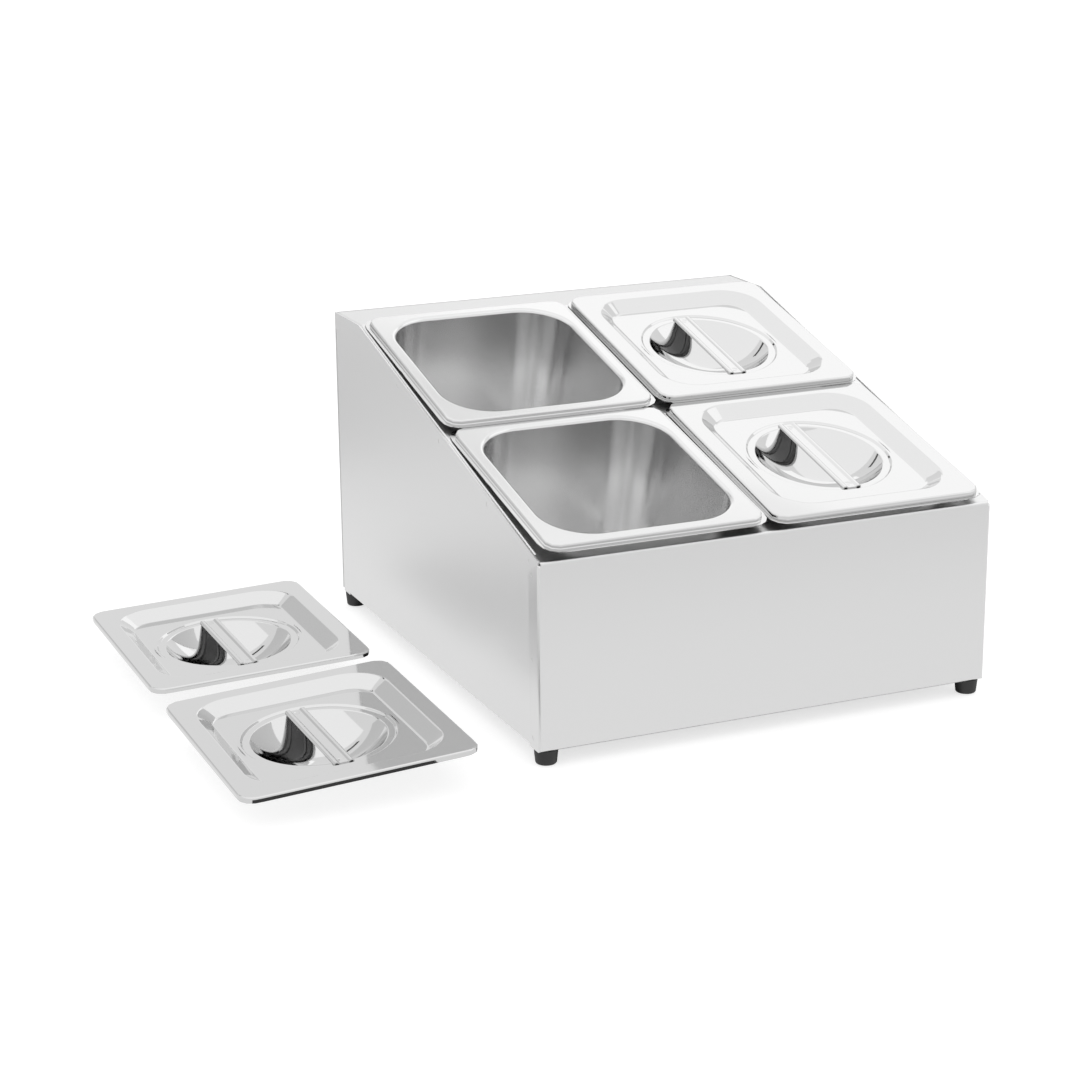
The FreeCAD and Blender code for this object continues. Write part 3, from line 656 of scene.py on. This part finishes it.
# %% Steps along a handle
handle_end_gap, weld_stretch = 1.5, 10.0
handle_reach = math.sqrt((ring_radius - ring_bevel) ** 2 - handle_half ** 2) - handle_end_gap
weld_steps = np.linspace(-handle_reach, -handle_reach + weld_stretch, 25)
web_steps = np.linspace(weld_steps[-1], -weld_steps[-1], 9)[1:-1]
strip_y = np.concatenate([weld_steps, web_steps, -weld_steps[::-1]])
print("a handle is", round(2 * handle_reach, 1), "mm long in", len(strip_y), "steps")


# %% Two open skins joined into a strip
def two_skins(name, top, top_normal, under, under_normal, matrix):
    """Joins two grids of the same size with flat edge strips. An edge's normal is the cross
    product of the way along the border and the way down to the lower skin. The lower quads
    take the piece's second material."""
    rows, columns = top.shape[:2]
    r, c = np.meshgrid(np.arange(rows - 1), np.arange(columns - 1), indexing="ij")
    a = (r * columns + c).reshape(-1)
    quads = np.stack([a, a + 1, a + columns + 1, a + columns], axis=1)
    size = rows * columns
    points = np.concatenate([top.reshape(-1, 3), under.reshape(-1, 3)])
    normals = np.concatenate([top_normal.reshape(-1, 3), under_normal.reshape(-1, 3)])
    lower = quads[:, ::-1] + size
    index = np.arange(size).reshape(rows, columns)
    border = np.concatenate([index[0, :-1], index[:-1, -1], index[-1, :0:-1], index[:0:-1, 0]])
    after = np.roll(border, -1)
    strip = np.stack([border, border + size, after + size, after], axis=1)
    edge = np.cross(points[after] - points[border], points[border + size] - points[border])
    edge /= -np.maximum(np.linalg.norm(edge, axis=1), 1e-9)[:, None]
    strip_normal = np.repeat(edge[:, None, :], 4, axis=1)
    mesh = mesh_of(name, points, [quads, lower, strip],
                   [normals[quads], normals[lower], strip_normal], matrix)
    finish = np.repeat([0, 1, 0], [len(quads), len(lower), len(strip)])
    mesh.polygons.foreach_set("material_index", finish.astype(np.int32))
    return mesh


print("a handle's edge is closed by", 2 * (len(section_x) + len(strip_y) - 2), "quads")


# %% A handle with its two welds
weld_radius, weld_depth, weld_inset = 2.0, 0.25, 5.0


def handle_mesh(name, matrix):
    """The upper skin is (across, along, height - dent), with the dent depth * exp(-f^4) at f
    weld radii from the weld, and its normal leans by the dent's slopes. The lower skin has
    no dents and lies one sheet below."""
    across, along = np.meshgrid(section_x, strip_y)
    level = np.broadcast_to(section_z, across.shape)
    flat = np.stack([np.broadcast_to(section_tilt[:, 0], across.shape), np.zeros(across.shape),
                     np.broadcast_to(section_tilt[:, 1], across.shape)], axis=2)
    height, normal = level.copy(), flat.copy()
    for end in (-handle_reach + weld_inset, handle_reach - weld_inset):
        far = np.hypot(across, along - end) / weld_radius
        dent = weld_depth * np.exp(-far ** 4)
        steep = dent * 4 * far ** 2 / weld_radius ** 2
        height -= dent
        normal -= np.stack([across * steep, (along - end) * steep, np.zeros(far.shape)], axis=2)
    normal /= np.linalg.norm(normal, axis=2)[:, :, None]
    top = np.stack([across, along, height + ledge_height], axis=2)
    under = np.stack([across, along, level + ledge_height], axis=2) - flat * handle_sheet
    return two_skins(name, top, normal, under, -flat, matrix)


print("welds", weld_inset, "mm from each end,", weld_depth, "mm deep")

# %% Weld a handle to each lid
handle_steel = steel("handle_steel", 0.64, 0.10, 0.04, along_y, 900.0, 0.03)
# The underside's dark grey of 0.22 is painted shade that stands in for the shadow under the strip.
shaded_underside_steel = steel("shaded_underside_steel", 0.22, 0.35, 0.05, along_y, 900.0, 0.05)
for name, matrix in lid_places.items():
    piece = dressed(handle_mesh("lid_handle_" + name, matrix), "lid_handle_" + name,
                    handle_steel)
    piece.data.materials.append(shaded_underside_steel)

# %% [markdown]
# ## The feet
# The feet are turned or moulded from black rubber: a slight taper, a rounded lower edge and
# a recess for the screw's head. A cylinder with a bevel would come close. A half section
# turned about its middle is as quick, and gives every edge its true radius.

# %% Rubber of the feet
def rubber():
    """Near-black and rough, with a fine noise that changes the grey and presses pits."""
    material = bpy.data.materials.new("foot_rubber")
    material.use_nodes = True
    nodes, links = material.node_tree.nodes, material.node_tree.links
    shader = nodes["Principled BSDF"]
    shader.inputs["Roughness"].default_value = 0.6
    place = nodes.new("ShaderNodeTexCoord")
    pits = nodes.new("ShaderNodeTexNoise")
    pits.inputs["Scale"].default_value = 1500.0
    links.new(place.outputs["Object"], pits.inputs["Vector"])
    tone = nodes.new("ShaderNodeValToRGB")
    for element, grey in zip(tone.color_ramp.elements, (0.008, 0.022)):
        element.color = (grey, grey, grey, 1.0)
    links.new(pits.outputs["Fac"], tone.inputs["Fac"])
    links.new(tone.outputs["Color"], shader.inputs["Base Color"])
    relief = nodes.new("ShaderNodeBump")
    relief.inputs["Strength"].default_value = 0.3
    relief.inputs["Distance"].default_value = 0.0002
    links.new(pits.outputs["Fac"], relief.inputs["Height"])
    links.new(relief.outputs["Normal"], shader.inputs["Normal"])
    return material


foot_rubber = rubber()
print("materials", sorted(m.name for m in bpy.data.materials))

# %% Half section of a foot
foot_height, foot_top, foot_bottom, foot_edge, foot_bore = 10.5, 8.1, 7.2, 1.6, 2.1
foot_recess_radius, foot_recess_depth, foot_top_bevel = 4.4, 4.5, 0.4


def foot_section():
    """Points (radius, height) from the bore over the top, down the side, round the lower
    edge's arc and into the recess, with a normal for the start and the end of each step.
    Straight steps have one normal for both, and the arc's turn from one to the next."""
    t = np.linspace(0.0, math.pi / 2, 7)
    bottom = np.stack([foot_bottom - foot_edge + foot_edge * np.cos(t),
                       foot_edge - foot_edge * np.sin(t)], axis=1)
    top = [(foot_bore, foot_height), (foot_top - foot_top_bevel, foot_height),
           (foot_top, foot_height - foot_top_bevel)]
    inside = [(foot_recess_radius, 0.0), (foot_recess_radius, foot_recess_depth),
              (foot_bore, foot_recess_depth)]
    section = np.concatenate([top, bottom, inside])
    way = np.roll(section, -1, axis=0) - section
    start = np.stack([-way[:, 1], way[:, 0]], axis=1)
    start /= np.linalg.norm(start, axis=1)[:, None]
    end = start.copy()
    arc = slice(len(top), len(top) + len(bottom) - 1)
    radial = np.stack([np.cos(t), -np.sin(t)], axis=1)
    start[arc], end[arc] = radial[:-1], radial[1:]
    return section, start, end


section, step_start, step_end = foot_section()
print("a foot's half section has", len(section), "points")


# %% A foot, turned from its section
foot_turns = 48


def foot_mesh(name, x, y):
    """Rings of the half section: each ring is (r cos a, r sin a, z). The section is closed,
    so its last ring joins its first."""
    a = np.linspace(0.0, 2 * math.pi, foot_turns + 1)[:-1]
    around = np.stack([np.cos(a), np.sin(a)], axis=1)
    rings = np.concatenate([section[:, None, :1] * around,
                            np.repeat(section[:, 1:], foot_turns, axis=1)[..., None]], axis=2)
    k, j = np.meshgrid(np.arange(len(section)), np.arange(foot_turns), indexing="ij")
    k2, j2 = (k + 1) % len(section), (j + 1) % foot_turns
    quads = np.stack([k * foot_turns + j, k2 * foot_turns + j, k2 * foot_turns + j2,
                      k * foot_turns + j2], axis=-1).reshape(-1, 4)
    across = np.stack([step_start, step_end, step_end, step_start], axis=1)
    turn = np.stack([around[j], around[j], around[j2], around[j2]], axis=2).reshape(-1, 4, 2)
    side = across[k.reshape(-1)]
    normals = np.concatenate([side[..., :1] * turn, side[..., 1:]], axis=2)
    matrix = Matrix.Translation(Vector((x, y, 0.0)))
    return mesh_of(name, rings.reshape(-1, 3), [quads], [normals], matrix)


for name in ("front_left", "front_right", "rear_left", "rear_right"):
    low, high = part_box("foot_" + name)
    x, y = (low.x + high.x) * 500, (low.y + high.y) * 500
    dressed(foot_mesh("foot_" + name, x, y), "foot_" + name, foot_rubber)

# %% [markdown]
# ## The studio: a white tent and a paper floor
# Polished steel looks like the room round it. A product photographer puts it in a white
# tent, so the steel turns white. Lamps alone would leave black steel with white spots, so
# here the world is the tent: an even white light at strength 1. The floor is white paper.
# The camera sees it as nearly white with a soft shadow under each piece, and reflections
# see it as even white paper, because the shadows would make grey bands in the panels.

# %% The tent and the floor
world = bpy.data.worlds.new("white_tent")
bpy.context.scene.world = world
world.use_nodes = True
tent = world.node_tree.nodes["Background"]
tent.inputs["Color"].default_value = (1.0, 1.0, 1.0, 1.0)
tent.inputs["Strength"].default_value = 1.0


def floor_material():
    """Mixes two papers by Light Path's Is Glossy Ray: one that takes shadows and adds some
    light of its own, and for reflections one that only gives an even light."""
    material = bpy.data.materials.new("white_floor")
    material.use_nodes = True
    nodes, links = material.node_tree.nodes, material.node_tree.links
    shader = nodes["Principled BSDF"]
    shader.inputs["Base Color"].default_value = (0.45, 0.45, 0.45, 1.0)
    shader.inputs["Roughness"].default_value = 0.9
    shader.inputs["Emission Color"].default_value = (1.0, 1.0, 1.0, 1.0)
    shader.inputs["Emission Strength"].default_value = 0.68
    even = nodes.new("ShaderNodeEmission")
    even.inputs["Color"].default_value = (0.97, 0.97, 0.97, 1.0)
    seen = nodes.new("ShaderNodeLightPath")
    mix = nodes.new("ShaderNodeMixShader")
    links.new(seen.outputs["Is Glossy Ray"], mix.inputs["Fac"])
    links.new(shader.outputs["BSDF"], mix.inputs[1])
    links.new(even.outputs["Emission"], mix.inputs[2])
    links.new(mix.outputs["Shader"], nodes["Material Output"].inputs["Surface"])
    return material


floor_size, floor_drop = 12.0, 0.0002
bpy.ops.mesh.primitive_plane_add(size=floor_size, location=(0.0, 0.0, -floor_drop))
floor = bpy.context.object
floor.name = "white_floor"
floor.data.materials.append(floor_material())
print("tent", world.name, "floor", floor_size, "m across")

# %% [markdown]
# ## Soft boxes and cards
# An even tent alone gives flat grey steel. The photographer adds soft boxes, which make the
# sloping lids and the pans' rims bright, and sets grey and black cards outside the picture,
# so the bevels and the dish are drawn by darker lines. Area lamps could do the first and
# not the second. Here both are flat cards that give off a set brightness and that only
# reflections see, so neither the camera, the floor nor the shadows notice them.

# %% A card that only reflections see
def card(name, middle, across, along, brightness):
    """A flat card with its corners at middle +- across +- along, two half sides."""
    middle, across, along = Vector(middle), Vector(across), Vector(along)
    corners = [middle + across * i + along * j for i, j in ((-1, -1), (1, -1), (1, 1), (-1, 1))]
    mesh = bpy.data.meshes.new(name)
    mesh.from_pydata([tuple(c) for c in corners], [], [(0, 1, 2, 3)])
    material = bpy.data.materials.new(name)
    material.use_nodes = True
    shader = material.node_tree.nodes["Principled BSDF"]
    shader.inputs["Base Color"].default_value = (0.0, 0.0, 0.0, 1.0)
    shader.inputs["Specular IOR Level"].default_value = 0.0
    shader.inputs["Emission Color"].default_value = (1.0, 1.0, 1.0, 1.0)
    shader.inputs["Emission Strength"].default_value = brightness
    mesh.materials.append(material)
    piece = bpy.data.objects.new(name, mesh)
    bpy.context.scene.collection.objects.link(piece)
    piece.visible_camera = piece.visible_diffuse = piece.visible_shadow = False
    print(name, "brightness", brightness)


# %% Soft boxes and cards that face the holder
def facing(name, azimuth, elevation, distance, width, height, brightness):
    """A card that faces the holder from a direction in degrees, with azimuth from the back
    towards the right. Its middle is at distance * (cos e sin a, cos e cos a, sin e)."""
    a, e = math.radians(azimuth), math.radians(elevation)
    way = Vector((math.cos(e) * math.sin(a), math.cos(e) * math.cos(a), math.sin(e)))
    side = Vector((math.cos(a), -math.sin(a), 0.0))
    rise = side.cross(way)
    card(name, way * distance, side * width / 2, rise * height / 2, brightness)


facing("top_softbox", 0.0, 89.9, 1.5, 2.6, 2.6, 1.25)
facing("right_softbox", 110.0, 38.0, 2.0, 1.6, 0.7, 1.42)
facing("back_softbox", 40.0, 36.0, 2.0, 1.4, 0.5, 1.4)
facing("side_card", -25.0, 22.0, 2.0, 1.4, 0.7, 0.75)
facing("line_card", -14.0, 40.0, 2.0, 0.85, 0.09, 0.05)

# %% [markdown]
# ## Cards on the table
# Upright steel mirrors the table, not the tent. Two grey cards, behind and in front, keep
# the stand's panels a little darker than the paper. A black one before the front loose lid
# draws its skirt as a dark line. The one under the stand is a painted shadow: the paper that
# reflections see has no shadows, so this black card stands in for the shade under the stand
# and keeps its inside dark. They could be painted on the floor, but then the camera would
# see them too.

# %% Lay the cards just above the floor
card_rise, shadow_card_inset = 0.0004, 0.004
card("far_table_card", (-0.45, 1.0, card_rise), (0.35, 0, 0), (0, 0.4, 0), 0.6)
card("front_table_card", (0.35, -0.8, card_rise), (0.6, 0, 0), (0, 0.3, 0), 0.82)
spot = lid_places["loose_front"].translation / 1000
card("lid_table_card", (spot.x - 0.01, spot.y - lid_half_y / 1000 - 0.055, card_rise),
     (0.08, 0, 0), (0, 0.035, 0), 0.06)
low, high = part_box("front_panel")[0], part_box("back_panel")[1]
# A black card under the stand, seen only in reflections, is a painted shadow for the shade under
# the stand.
card("painted_shadow_under_stand", ((low.x + high.x) / 2, (low.y + high.y) / 2, card_rise),
     ((high.x - low.x) / 2 - shadow_card_inset, 0, 0),
     (0, (high.y - low.y) / 2 - shadow_card_inset, 0), 0.01)
